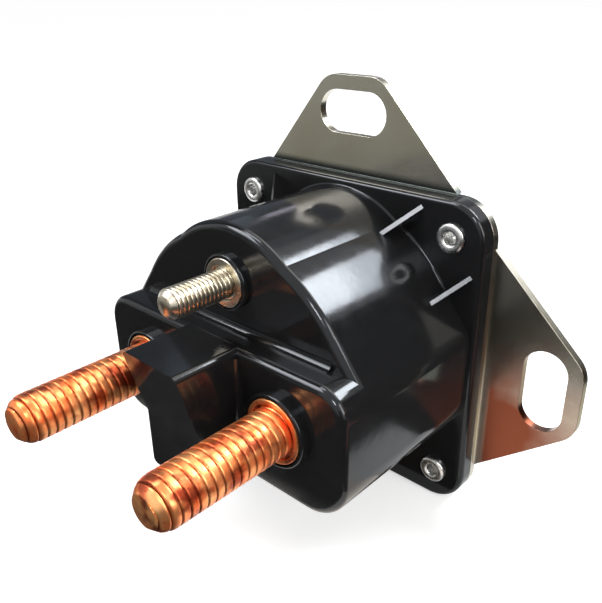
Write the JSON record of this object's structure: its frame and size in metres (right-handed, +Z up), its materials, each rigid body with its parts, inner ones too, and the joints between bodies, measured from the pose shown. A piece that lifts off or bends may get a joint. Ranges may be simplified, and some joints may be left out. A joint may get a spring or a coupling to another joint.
{
  "type": "auxiliary relay",
  "caption": "Black moulded solenoid relay with a plunger switch inside, threaded copper power studs, a small coil stud and a flat steel bracket with slotted ears.",
  "frame": {"origin": "centre of the square flange, on the mounting plane of the bracket's ears", "axes": "+Z up through the top ear, +X to the right as seen from the studs' side, studs pointing along -Y; +Y is the outward normal of the mounting plane"},
  "size_m": [0.0732, 0.0633, 0.0732],
  "materials": {
    "phenolic": "glossy moulded phenolic, near black",
    "plated_steel": "zinc and yellow chromate plating",
    "rivet_steel": "bright plated",
    "seal_rubber": "matt",
    "stud_copper": "bright copper",
    "coil_stud_steel": "bright nickel plating",
    "tab_brass": "plain",
    "magnet_iron": "zinc plated soft iron",
    "nylon": "natural nylon",
    "winding_copper": "enamelled copper wire",
    "spring_steel": "bright spring wire"
  },
  "bodies": {
    "relay_body": {"housing": "phenolic", "mounting_bracket": "plated_steel", "flange_rivets": "rivet_steel", "cover_gasket": "seal_rubber", "power_stud_left": "stud_copper", "power_stud_right": "stud_copper", "power_collars": "stud_copper", "power_stud_seals": "seal_rubber", "coil_stud": "coil_stud_steel", "coil_stud_collar": "coil_stud_steel", "coil_stud_seal": "seal_rubber", "coil_lug": "tab_brass", "magnet_frame": "magnet_iron", "pole_plate": "magnet_iron", "fixed_core": "magnet_iron", "bobbin": "nylon", "coil_winding": "winding_copper", "bore_sleeve": "tab_brass", "feed_lead": "winding_copper", "ground_lead": "winding_copper", "plunger_bumper": "seal_rubber", "return_spring": "spring_steel"},
    "plunger_assembly": {"plunger": "magnet_iron", "plunger_rod": "tab_brass", "spring_seat": "magnet_iron", "contact_spring": "spring_steel", "clip_washer": "nylon", "retaining_clip": "spring_steel"},
    "contact_carriage": {"contact_bridge": "stud_copper", "contact_bushing": "nylon"}
  },
  "joints": [
    {"name": "plunger_slide", "type": "slide", "parent": "relay_body", "child": "plunger_assembly", "axis": [0, -1, 0], "range_m": [0, 0.0022], "stiffness_N_per_m": 400, "springref_m": -0.003, "deforming": ["return_spring"]},
    {"name": "contact_overtravel", "type": "slide", "parent": "plunger_assembly", "child": "contact_carriage", "axis": [0, 1, 0], "range_m": [0, 0.0005], "deforming": ["contact_spring"]}
  ],
  "couplings": [
    {"joint": "contact_overtravel", "follows": "plunger_slide", "ratio": 0.22727}
  ]
}
